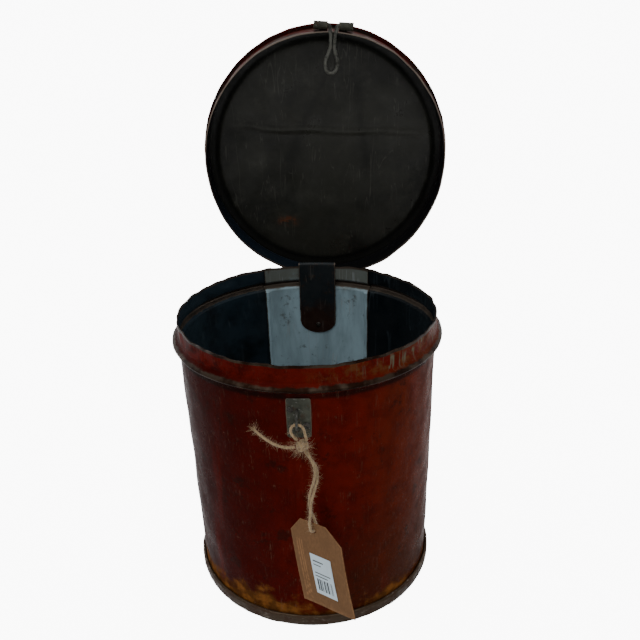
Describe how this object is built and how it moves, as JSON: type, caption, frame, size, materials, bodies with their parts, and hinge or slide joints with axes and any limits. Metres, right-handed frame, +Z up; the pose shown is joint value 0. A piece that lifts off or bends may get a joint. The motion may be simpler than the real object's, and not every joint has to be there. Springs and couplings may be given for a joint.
{
  "type": "lidded metal storage tin",
  "caption": "Round sheet-metal storage tin with a rear-hinged slip lid, a wire hasp over a staple, and a card tag on jute twine.",
  "frame": {"origin": "centre of the bottom pan's flat underside", "axes": "+Z up along the can, +Y towards the hinge at the rear, +X to the right seen from the front"},
  "size_m": [0.2609, 0.355, 0.5141],
  "materials": {
    "red_paint": "worn matt red paint over sheet steel, with bare edges and ochre rust at the foot",
    "panel_paint": "worn blue-grey paint",
    "bare_steel": "aged bare sheet steel, brown-grey",
    "dark_sheet": "dark grey-green aged sheet, scratched",
    "grey_green_sheet": "worn grey-green paint on sheet steel",
    "iron_wire": "aged iron wire",
    "jute": "natural jute twine",
    "kraft": "brown kraft card",
    "label_paper": "white paper label"
  },
  "bodies": {
    "can": {"body_front_sheet": "red_paint", "body_back_panel": "panel_paint", "bottom_pan": "bare_steel", "hinge_body_strap": "dark_sheet", "body_strap_rivet": "dark_sheet", "hinge_pin": "bare_steel", "staple_plate": "grey_green_sheet", "staple": "iron_wire", "plate_rivet_upper": "grey_green_sheet", "plate_rivet_lower": "grey_green_sheet"},
    "lid": {"lid_skirt": "red_paint", "lid_disc": "dark_sheet", "hinge_lid_strap": "dark_sheet", "lid_strap_rivet_left": "dark_sheet", "lid_strap_rivet_right": "dark_sheet", "hasp_keeper_left": "grey_green_sheet", "hasp_keeper_right": "grey_green_sheet", "keeper_rivet_left": "dark_sheet", "keeper_rivet_right": "dark_sheet"},
    "hasp": {"hasp_wire": "iron_wire"},
    "tag": {"twine_loop": "jute", "twine_knot": "jute", "twine_tail": "jute", "twine_strands": "jute", "tag_card": "kraft", "tag_label": "label_paper"}
  },
  "joints": [
    {"name": "lid_hinge", "type": "hinge", "parent": "can", "child": "lid", "pos_m": [0, 0.1305, 0.251], "axis": [0.9963, 0, -0.0854], "range_deg": [0, 86]},
    {"name": "hasp_swing", "type": "hinge", "parent": "lid", "child": "hasp", "pos_m": [0.02097, 0.12662, 0.50992], "axis": [0.9932, 0.0852, -0.0792], "range_deg": [-104.1, 0]},
    {"name": "tag_swing", "type": "hinge", "parent": "can", "child": "tag", "pos_m": [0.0026, -0.128, 0.228], "axis": [-1, 0, 0], "range_deg": [0, 20]}
  ],
  "couplings": [
    {"joint": "hasp_swing", "follows": "lid_hinge", "ratio": -1.21}
  ]
}
